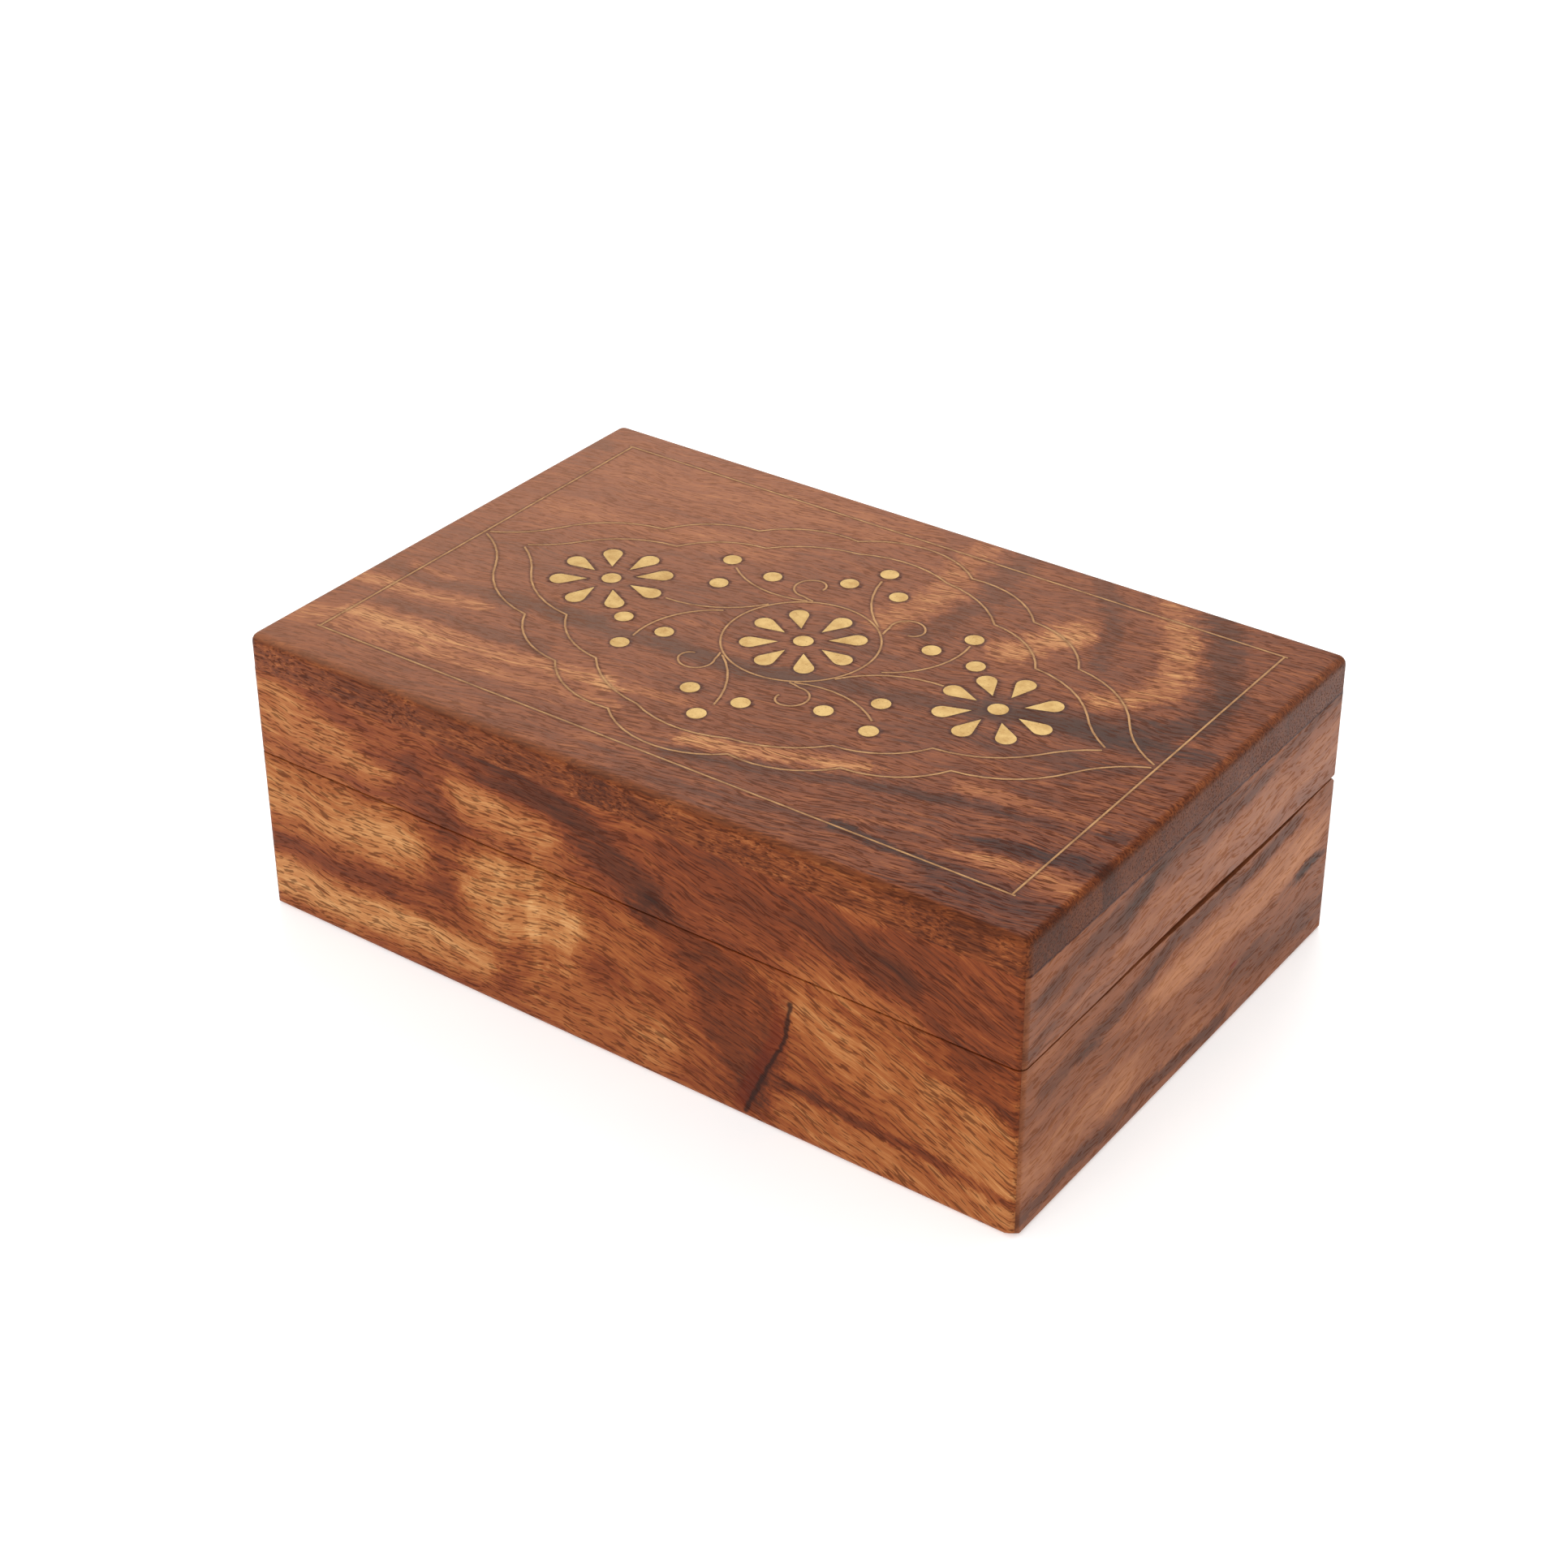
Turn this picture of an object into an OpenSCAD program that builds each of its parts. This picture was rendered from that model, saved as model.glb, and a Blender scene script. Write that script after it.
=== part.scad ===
// Hinged wooden box with a brass inlay in its lid.
// The closed box is one rounded block, sawn into a base and a lid. Its walls are mitred
// boards, the top board lies over the lid's boards and the bottom panel sits in a rebate.
// Origin: centre of the underside. +X is right, +Y is towards the hinges, +Z is up.

/* [Box] */
// Length of the closed box, along X
box_l = 200; // [190:1:220]
// Width of the closed box, from front to hinges, along Y
box_w = 131; // [126:1:150]
// Height of the closed box
box_h = 71; // [60:1:90]
// Height of the base, up to the middle of the gap under the lid
base_h = 41; // [34:1:45]
// Thickness of the wall boards
wall_t = 8; // [7:0.5:10]
// Thickness of the top board
top_t = 8.5; // [6:0.5:10]
// Thickness of the bottom panel
bottom_t = 4; // [3:0.5:5]
// Gap between the closed lid and the base
lid_gap = 0.3; // [0.2:0.1:0.5]

/* [Edges] */
// Radius of the four upright corners
corner_r = 2; // [1:0.5:3]
// Radius along the top edges
top_r = 2.5; // [1:0.5:3]
// Radius along the bottom edges
foot_r = 1.5; // [1:0.5:2]
// How far the lid's right end has worn hollow along the gap
lid_hollow = 0.7; // [0.2:0.1:1]
// How far the base's right end has worn hollow along the gap
base_hollow = 0.8; // [0.2:0.1:1.2]
// Bevel along the back edge of the base, where the open lid comes to rest
back_bevel = 2.6; // [2.5:0.1:3]

/* [Lining] */
// Thickness of the lining cloth
lining_t = 0.8; // [0.5:0.1:1.2]
// Bare wood left above the wall lining
lining_margin = 2; // [1:0.5:4]

/* [Hinges] */
// Length of each hinge
hinge_l = 25; // [20:1:30]
// Distance of each hinge's middle from the middle of the box
hinge_x = 62; // [40:1:70]
// Width of a hinge leaf, from the pin's axis
leaf_w = 6.5; // [5.5:0.25:6.5]
// Thickness of a hinge leaf
leaf_t = 0.6; // [0.5:0.1:0.7]
// Radius of the hinge barrel
barrel_r = 1.3; // [1.2:0.1:1.4]
// Radius of the hinge pin
pin_r = 0.6; // [0.5:0.05:0.7]
// Radius of a screw's shank
screw_r = 0.8; // [0.6:0.1:1]
// Length of a screw
screw_l = 6; // [4:0.5:8]

/* [Inlay] */
// Depth of the brass in the top board
inlay_d = 1.2; // [0.8:0.1:2]
// Width of the inlaid wire
wire_w = 0.5; // [0.4:0.05:0.6]
// Middle of the pattern, measured from the middle of the top board
inlay_mid = [-0.2, 1.3];
// Half length of the wire border
border_x = 89.3; // [88.5:0.1:92]
// Half width of the wire border
border_y = 55.1; // [53.5:0.1:58]
// Radius of the ring round the middle flower
ring_r = 17.5; // [17.5:0.1:18]
// Radius of the loose dots
dot_r = 2.15; // [1.8:0.05:2.2]

/* [Hidden] */
$fn = 72;

wood = "#8a5638";
brass = "#d9b36a";
steel = "#8d8a84";
velvet = "#6d1420";

tiny = 0.01;
inner_l = box_l - 2 * wall_t;
inner_w = box_w - 2 * wall_t;
rim_z = base_h - lid_gap / 2;      // top of the base
lip_z = base_h + lid_gap / 2;      // underside of the lid's boards
seam_z = box_h - top_t;            // joint between the lid's boards and the top board
rebate = wall_t / 2;
back_y = box_w / 2;
axis_y = back_y - barrel_r;        // the barrel is flush with the back

// ---------- Box ----------

module rounded(l, w, r) {
  square([l - 2 * r, w], center = true);
  square([l, w - 2 * r], center = true);
  for (x = [-1, 1], y = [-1, 1])
    translate([x * (l / 2 - r), y * (w / 2 - r)]) circle(r);
}

// Upright section of the block: rounded at the top with one radius and at the foot with another.
module section(l) {
  for (x = [-1, 1]) {
    translate([x * (l / 2 - top_r), box_h - top_r]) circle(top_r);
    translate([x * (l / 2 - foot_r), foot_r]) circle(foot_r);
  }
  translate([-l / 2, foot_r]) square([l, box_h - top_r - foot_r]);
  translate([-l / 2 + top_r, top_r]) square([l - 2 * top_r, box_h - top_r]);
  translate([-l / 2 + foot_r, 0]) square([l - 2 * foot_r, 2 * top_r]);
}

// The whole closed box, before it is sawn.
module block() {
  intersection() {
    linear_extrude(box_h) rounded(box_l, box_w, corner_r);
    rotate([90, 0, 0]) linear_extrude(box_w, center = true) section(box_l);
    rotate([90, 0, 90]) linear_extrude(box_l, center = true) section(box_w);
  }
}

// Plan of one mitred wall board. side: 0 right, 1 back, 2 left, 3 front.
module mitred(side) {
  long = side % 2 == 0 ? box_w : box_l;
  out = side % 2 == 0 ? box_l / 2 : box_w / 2;
  rotate(90 * side)
    polygon([
      [out - wall_t, -long / 2 + wall_t], [out, -long / 2],
      [out, long / 2], [out - wall_t, long / 2 - wall_t]
    ]);
}

module wall_board(side, z0, z1) {
  intersection() {
    block();
    translate([0, 0, z0]) linear_extrude(z1 - z0) mitred(side);
  }
}

// Long shallow hollow along the gap on the right end, from y0 to y1.
module worn_edge(y0, y1, depth) {
  steps = 16;
  rotate([90, 0, 90]) linear_extrude(box_l)
    polygon([
      [y0, -1],
      for (i = [0 : steps]) [y0 + (y1 - y0) * i / steps, depth * sin(180 * i / steps)],
      [y1, -1]
    ]);
}

module panel_blank() {
  translate([0, 0, bottom_t / 2])
    cube([inner_l + 2 * rebate, inner_w + 2 * rebate, bottom_t], center = true);
}

module base_board(side) {
  color(wood) difference() {
    wall_board(side, 0, rim_z);
    panel_blank();
    if (side != 3)
      translate([0, back_y, rim_z]) rotate([45, 0, 0])
        cube([box_l + 2, back_bevel * sqrt(2), back_bevel * sqrt(2)], center = true);
    if (side == 1) {
      for (x = [-1, 1]) translate([x * hinge_x, 0, 0]) {
        barrel_slot();
        leaf_bed(rim_z - leaf_t, rim_z + 1);
      }
      screws(-1);
    }
    if (side == 0)
      translate([0, 0, rim_z]) mirror([0, 0, 1])
        worn_edge(44 - back_y, back_y - wall_t, base_hollow);
  }
}

module lid_board(side) {
  color(wood) difference() {
    wall_board(side, lip_z, seam_z);
    if (side == 1) {
      for (x = [-1, 1]) translate([x * hinge_x, 0, 0]) {
        barrel_slot();
        leaf_bed(lip_z - 1, lip_z + leaf_t);
      }
      screws(1);
    }
    if (side == 0) translate([0, 0, lip_z]) worn_edge(26 - back_y, back_y - 34, lid_hollow);
  }
}

module bottom_panel() {
  color(wood) panel_blank();
}

module lid_top_board() {
  color(wood) difference() {
    intersection() {
      block();
      translate([0, 0, seam_z + box_h / 2]) cube([box_l + 2, box_w + 2, box_h], center = true);
    }
    for (which = [0 : 2]) inlay() petals(which);
    inlay() centres();
    inlay() all_dots();
    inlay() scroll();
    inlay() outlines();
    inlay() border();
  }
}

// ---------- Lining ----------

module floor_lining() {
  color(velvet) translate([0, 0, bottom_t + lining_t / 2])
    cube([inner_l, inner_w, lining_t], center = true);
}

module wall_lining(side) {
  z0 = bottom_t + lining_t;
  long = side % 2 == 0 ? inner_w - 2 * lining_t : inner_l;
  out = side % 2 == 0 ? inner_l / 2 : inner_w / 2;
  color(velvet) rotate(90 * side)
    translate([out - lining_t, -long / 2, z0])
      cube([lining_t, long, rim_z - lining_margin - z0]);
}

module lid_lining() {
  color(velvet) translate([0, 0, seam_z - lining_t / 2])
    cube([inner_l, inner_w, lining_t], center = true);
}

// ---------- Hinges ----------
// Drawn round a pin axis on the middle of the gap, at the middle of the hinge.

knuckle_l = hinge_l / 3;
knuckle_gap = 0.3;
bore_r = pin_r + 0.05;
slot_r = barrel_r + 0.35;
leaf_clear = 0.45;                 // from a turning knuckle to the other leaf

module along_x(l) {
  rotate([0, 90, 0]) translate([0, 0, -l / 2]) children();
}

module barrel_slot() {
  translate([0, axis_y, base_h]) along_x(hinge_l) cylinder(h = hinge_l, r = slot_r);
}

module leaf_bed(z0, z1) {
  translate([-hinge_l / 2, axis_y - leaf_w, z0]) cube([hinge_l, leaf_w, z1 - z0]);
}

// Leaf plate between two heights, and its tongue that runs into the knuckle at x0.
module leaf_plate(z0) {
  translate([-hinge_l / 2, axis_y - leaf_w, z0])
    cube([hinge_l, leaf_w - barrel_r - leaf_clear, leaf_t]);
}

module knuckle(x0, l, z0) {
  translate([x0 - l / 2, axis_y - barrel_r - leaf_clear - tiny, z0])
    cube([l, barrel_r + leaf_clear, leaf_t]);
  translate([x0, axis_y, base_h]) along_x(l) cylinder(h = l, r = barrel_r);
}

module base_leaf(x) {
  color(brass) difference() {
    translate([x, 0, 0]) {
      leaf_plate(rim_z - leaf_t);
      for (s = [-1, 1])
        knuckle(s * (hinge_l / 2 - knuckle_l / 2), knuckle_l, rim_z - leaf_t);
    }
    translate([x, axis_y, base_h]) along_x(hinge_l + 2) cylinder(h = hinge_l + 2, r = pin_r);
    screws(-1);
  }
}

module lid_leaf(x) {
  color(brass) difference() {
    translate([x, 0, 0]) {
      leaf_plate(lip_z);
      knuckle(0, knuckle_l - 2 * knuckle_gap, lip_z);
    }
    translate([x, axis_y, base_h]) along_x(hinge_l + 2) cylinder(h = hinge_l + 2, r = bore_r);
    screws(1);
  }
}

module hinge_pin(x) {
  color(steel) translate([x, axis_y, base_h]) along_x(hinge_l) cylinder(h = hinge_l, r = pin_r);
}

// Countersunk screws, two to a leaf. way: -1 down into the base, 1 up into the lid.
module screws(way) {
  head_r = 2 * screw_r;
  for (side = [-1, 1], end = [-1, 1])
    translate([
      side * hinge_x + end * hinge_l / 4,
      axis_y - (leaf_w + barrel_r) / 2,
      base_h + way * lid_gap / 2
    ])
      mirror([0, 0, way < 0 ? 1 : 0]) {
        cylinder(h = leaf_t, r1 = head_r, r2 = screw_r);
        translate([0, 0, leaf_t]) cylinder(h = screw_l - leaf_t, r = screw_r);
      }
}

// ---------- Bent lines ----------
// A path is a list of [x, y, bulge]: the stretch to the next point is an arc that stands off
// its chord by the bulge, to the left of the way if it is positive.

arc_step = 8;

function unit(v) = v / norm(v);
function left(v) = [-v[1], v[0]];
function xy(p) = [p[0], p[1]];
function turned(v, a) = [v[0] * cos(a) - v[1] * sin(a), v[0] * sin(a) + v[1] * cos(a)];

function arc(p, q, bulge) =
  bulge == 0 ? [p] :
  let (
    chord = norm(q - p),
    sweep = 4 * atan(2 * bulge / chord),
    r = (chord * chord / 4 + bulge * bulge) / (2 * bulge),
    n = left(unit(q - p)),
    centre = (p + q) / 2 + n * (bulge - r),
    steps = ceil(abs(sweep) / arc_step)
  )
  [for (i = [0 : steps - 1]) centre + turned(n * r, sweep * (0.5 - i / steps))];

function bent(path) = [
  for (i = [0 : len(path) - 2]) each arc(xy(path[i]), xy(path[i + 1]), path[i][2]),
  xy(path[len(path) - 1])
];

// One side of a strip drawn along a line, w away from it and mitred at each point.
function edge(line, w) = [
  for (i = [0 : len(line) - 1])
    let (
      before = left(unit(line[max(i, 1)] - line[max(i, 1) - 1])),
      after = left(unit(line[min(i + 1, len(line) - 1)] - line[min(i, len(line) - 2)])),
      mitre = unit(before + after)
    )
    line[i] + mitre * w / (mitre * before)
];

function reversed(list) = [for (i = [len(list) - 1 : -1 : 0]) list[i]];

module wire(path) {
  line = bent(path);
  polygon(concat(edge(line, wire_w / 2), reversed(edge(line, -wire_w / 2))));
}

// ---------- Inlay ----------
// Drawn flat round the middle of the pattern, then let into the top board.

module inlay() {
  translate([inlay_mid[0], inlay_mid[1], box_h - inlay_d]) linear_extrude(inlay_d) children();
}

// Each flower's middle, from the middle of the pattern: left, middle and right
flower_mid = [[-50.9, -0.9], [1.1, 0.8], [50.9, 0.9]];
// Petals are set by eye: how far each one leans from an even eighth of a turn
petal_lean = [
  [-2, -4, -9, -8, -9, -9, -5, -3],
  [-9, -8, -11, -5, -8, -8, -10, -9],
  [-8, -4, 2, -1, -5, -5, -7, -5]
];
petal_tip = 5.5;
petal_end = 14;
petal_r = 2.25;
centre_r = 2.25;

// A round end, and two straight sides that run from it to a point.
module petal() {
  c = petal_end - petal_r;
  arc_end = 180 - acos(petal_r / (c - petal_tip));
  steps = 16;
  polygon([
    [petal_tip, 0],
    for (i = [0 : steps])
      let (a = arc_end * (2 * i / steps - 1)) [c + petal_r * cos(a), petal_r * sin(a)]
  ]);
}

module petals(which) {
  translate(flower_mid[which])
    for (i = [0 : 7]) rotate(45 * i + petal_lean[which][i]) petal();
}

module centres() {
  for (mid = flower_mid) translate(mid) circle(centre_r);
}

// Half of the loose dots: the other half are these, turned half round.
dots = [
  [-33.9, 22.0], [-21.6, 20.7], [-29.8, 11.4],
  [-0.7, 36.9], [-5.6, 28.1], [6.9, 29.2],
  [31.1, 22.7], [26.0, 13.5], [37.5, 13.2]
];

module all_dots() {
  for (half = [0, 180]) rotate(half) for (p = dots) translate(p) circle(dot_r);
}

// The ring, its stems and its curls are laid round their own middle.
ring_mid = [0.6, 0.6];

module ring() {
  translate(ring_mid) difference() {
    circle(ring_r + wire_w / 2);
    circle(ring_r - wire_w / 2);
  }
}

// Stems spring from the ring, on one half of the pattern: to the back, to the back left
// and to the left flower, and one that leaves the left flower's stem towards the front left.
touch = ring_r + wire_w + 0.02;    // middle line of a wire that lies against the ring
function on_ring(a) = touch * [cos(a), sin(a)];
function from_ring(a, bulge) = [on_ring(a)[0], on_ring(a)[1], bulge];

back_stem = [from_ring(55, 2.0), [-0.9, 32.6, 0]];
side_stem = [from_ring(121, 3.2), [-31.6, 18.9, 0]];
flower_stem = [from_ring(149, 2.9), [-35.9, -1.7, 0]];
branch_stem = [[-21.9, 1.2, -3.6], [-31.2, -19.3, 0]];

// A curl springs from the ring, runs clockwise round its eye and hooks back on itself.
// Drawn with its eye on the X axis.
curl = [from_ring(-3, 0.1), [20.1, 1.5, 3.9], [27.4, -1.6, 1.2], [23.2, -2.6, 0]];
curl_turns = [47.5, 120, 234.5, 300.7];

// Scalloped outlines: a quarter of each, from the tip on the long axis to the last cusp.
outer_quarter = [[88.3, 0.6, -1.2], [76.3, 11.4, 2.9], [56, 25, 3], [37.4, 37, 3.2], [15.6, 46, 6.1]];
inner_quarter = [[76.8, 0.6, -0.7], [67.3, 9.5, 2.3], [48.3, 19.9, 2.6], [31, 31, 2.1], [12, 41, 2.8]];

// The back half of an outline: its left quarter, then the same mirrored and run backwards.
function half_outline(q) = concat(
  [for (p = q) [-p[0], p[1], p[2]]],
  [for (i = [len(q) - 1 : -1 : 0]) [q[i][0], q[i][1], i == 0 ? 0 : q[i - 1][2]]]
);

module curls() {
  for (a = curl_turns) translate(ring_mid) rotate(a) wire(curl);
}

module stem(path, half) {
  translate(ring_mid) rotate(half) wire(path);
}

module scroll() {
  ring();
  curls();
  for (half = [0, 180], path = [back_stem, side_stem, flower_stem, branch_stem]) stem(path, half);
}

module outlines() {
  for (half = [0, 180], quarter = [outer_quarter, inner_quarter])
    rotate(half) wire(half_outline(quarter));
}

// Border wires. The long ones run a little past the short ones.
overrun = 0.8;

module border_long(side) {
  translate([0, side * border_y]) square([2 * (border_x + overrun), wire_w], center = true);
}

module border_short(side) {
  translate([side * border_x, 0]) square([wire_w, 2 * border_y - wire_w], center = true);
}

module border() {
  for (side = [-1, 1]) {
    border_long(side);
    border_short(side);
  }
}

module stem_wire(path, half) {
  color(brass) inlay() stem(path, half);
}

module outline_wire(quarter, half) {
  color(brass) inlay() rotate(half) wire(half_outline(quarter));
}

// ---------- Nodes ----------

base_board(3);  // base_front_board
base_board(1);  // base_back_board
base_board(2);  // base_left_board
base_board(0);  // base_right_board
bottom_panel();
floor_lining();
wall_lining(3);  // front_lining
wall_lining(1);  // back_lining
wall_lining(2);  // left_lining
wall_lining(0);  // right_lining
lid_board(3);  // lid_front_board
lid_board(1);  // lid_back_board
lid_board(2);  // lid_left_board
lid_board(0);  // lid_right_board
lid_top_board();
lid_lining();
base_leaf(-hinge_x);  // left_hinge_base_leaf
lid_leaf(-hinge_x);  // left_hinge_lid_leaf
hinge_pin(-hinge_x);  // left_hinge_pin
base_leaf(hinge_x);  // right_hinge_base_leaf
lid_leaf(hinge_x);  // right_hinge_lid_leaf
hinge_pin(hinge_x);  // right_hinge_pin
color(steel) screws(-1);  // base_hinge_screws
color(steel) screws(1);  // lid_hinge_screws
color(brass) inlay() petals(0);  // left_flower_petals
color(brass) inlay() petals(1);  // middle_flower_petals
color(brass) inlay() petals(2);  // right_flower_petals
color(brass) inlay() centres();  // flower_centres
color(brass) inlay() all_dots();  // loose_dots
color(brass) inlay() ring();  // ring_wire
color(brass) inlay() curls();  // curl_wires
stem_wire(back_stem, 0);  // back_stem_wire
stem_wire(side_stem, 0);  // back_left_stem_wire
stem_wire(flower_stem, 0);  // left_flower_stem_wire
stem_wire(branch_stem, 0);  // front_left_stem_wire
stem_wire(back_stem, 180);  // front_stem_wire
stem_wire(side_stem, 180);  // front_right_stem_wire
stem_wire(flower_stem, 180);  // right_flower_stem_wire
stem_wire(branch_stem, 180);  // back_right_stem_wire
outline_wire(outer_quarter, 0);  // outer_outline_back_wire
outline_wire(outer_quarter, 180);  // outer_outline_front_wire
outline_wire(inner_quarter, 0);  // inner_outline_back_wire
outline_wire(inner_quarter, 180);  // inner_outline_front_wire
color(brass) inlay() border_long(-1);  // border_front_wire
color(brass) inlay() border_long(1);  // border_back_wire
color(brass) inlay() border_short(-1);  // border_left_wire
color(brass) inlay() border_short(1);  // border_right_wire
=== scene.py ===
# %% [markdown]
# # A hinged wooden box with a brass inlay
# The box is a block of figured hardwood boards, glued up, sanded as one and sawn apart into
# a base and a lid. A flower pattern of brass wire, dots and petals is let into the top board.
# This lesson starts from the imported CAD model, which fixes where every piece is, and gives
# each piece its eased edges, its grain and its finish.

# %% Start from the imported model
import math

import bmesh
import bpy
from mathutils import Matrix, Vector, noise
from mathutils.bvhtree import BVHTree


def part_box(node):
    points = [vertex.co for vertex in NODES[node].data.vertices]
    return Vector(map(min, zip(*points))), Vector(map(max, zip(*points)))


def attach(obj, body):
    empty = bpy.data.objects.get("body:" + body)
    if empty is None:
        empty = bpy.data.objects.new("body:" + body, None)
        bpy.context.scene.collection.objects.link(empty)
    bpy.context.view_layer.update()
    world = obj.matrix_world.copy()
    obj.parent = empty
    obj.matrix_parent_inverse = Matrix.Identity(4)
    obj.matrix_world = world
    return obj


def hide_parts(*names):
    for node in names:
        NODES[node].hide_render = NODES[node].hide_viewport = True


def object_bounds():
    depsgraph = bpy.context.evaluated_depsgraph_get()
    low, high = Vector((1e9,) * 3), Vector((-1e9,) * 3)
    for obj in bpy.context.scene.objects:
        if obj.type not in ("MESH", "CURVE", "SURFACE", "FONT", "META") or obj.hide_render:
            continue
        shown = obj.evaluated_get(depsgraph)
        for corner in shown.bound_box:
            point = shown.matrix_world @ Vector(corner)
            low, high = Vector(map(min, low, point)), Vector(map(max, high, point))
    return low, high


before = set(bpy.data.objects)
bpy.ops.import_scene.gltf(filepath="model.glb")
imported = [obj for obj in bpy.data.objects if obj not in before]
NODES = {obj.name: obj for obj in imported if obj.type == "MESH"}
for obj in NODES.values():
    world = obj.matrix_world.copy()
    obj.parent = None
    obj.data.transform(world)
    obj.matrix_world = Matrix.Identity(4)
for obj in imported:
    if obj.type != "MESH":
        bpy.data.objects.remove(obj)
CAD_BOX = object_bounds()
MM = 0.001
HALF_L, HALF_W, HEIGHT = (c / MM for c in CAD_BOX[1])
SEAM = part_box("lid_top_board")[0].z
print("box, mm:", round(2 * HALF_L, 2), round(2 * HALF_W, 2), round(HEIGHT, 2))

# %% [markdown]
# ## The camera
# A small box shows best through a longish lens, from a little above and from one corner, so
# that the top, the front and one end all show. The camera is aimed at a point and stepped back
# along its own view, which keeps the angles readable.

# %% Camera
AIM = Vector((-0.0042, 0.0020, 0.0728))
DISTANCE = 0.6405
TURN = math.radians(36.0)
TILT = math.radians(29.29)
ROLL = math.radians(-0.26)
LENS = 67.6
SHIFT_DOWN = 0.1


def aimed(name, data, aim, turn, tilt, distance, roll=0.0):
    """Stands a camera or a lamp back from a point, on the side that turn and tilt say."""
    thing = bpy.data.objects.new(name, data)
    bpy.context.scene.collection.objects.link(thing)
    level = math.cos(tilt)
    way = Vector((math.sin(turn) * level, -math.cos(turn) * level, math.sin(tilt)))
    turned = (-way).to_track_quat("-Z", "Y").to_matrix() @ Matrix.Rotation(roll, 3, "Z")
    thing.matrix_world = Matrix.Translation(aim + way * distance) @ turned.to_4x4()
    return thing


lens = bpy.data.cameras.new("camera")
lens.lens = LENS
lens.shift_y = -SHIFT_DOWN
lens.clip_start = 0.01
camera = aimed("camera", lens, AIM, TURN, TILT, DISTANCE, ROLL)
bpy.context.scene.camera = camera
print("camera stands at", [round(c, 3) for c in camera.location])

# %% [markdown]
# ## A workbench for materials
# Grain, pores and wear are sums of simple patterns, and sums read best as Python. A Tone wraps
# one socket that carries a number, so `1 - tone * 0.3` adds the Math nodes by itself. A Shop
# holds one material's node tree and has one method that adds any other node.

# %% Numbers that vary over a surface
class Tone:
    """A socket that carries a number and takes part in sums."""

    def __init__(self, shop, socket):
        self.shop = shop
        self.socket = socket

    def __add__(self, other):
        return self.shop.math("ADD", self, other)

    __radd__ = __add__

    def __mul__(self, other):
        return self.shop.math("MULTIPLY", self, other)

    __rmul__ = __mul__

    def __sub__(self, other):
        return self.shop.math("SUBTRACT", self, other)

    def __rsub__(self, other):
        return self.shop.math("SUBTRACT", other, self)

    def __truediv__(self, other):
        return self.shop.math("DIVIDE", self, other)

    def __abs__(self):
        return self.shop.math("ABSOLUTE", self)

    def clamped(self):
        """The number kept from 0 to 1: by its own Math node, where nothing else reads it yet."""
        node = self.socket.node
        if node.bl_idname == "ShaderNodeMath" and not self.socket.links:
            node.use_clamp = True
            return self
        return self.shop.math("ADD", self, 0.0, clamp=True)


# %% One material's workbench
def plain(value):
    """The socket inside a Tone, or the value itself."""
    return value.socket if isinstance(value, Tone) else value


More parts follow.
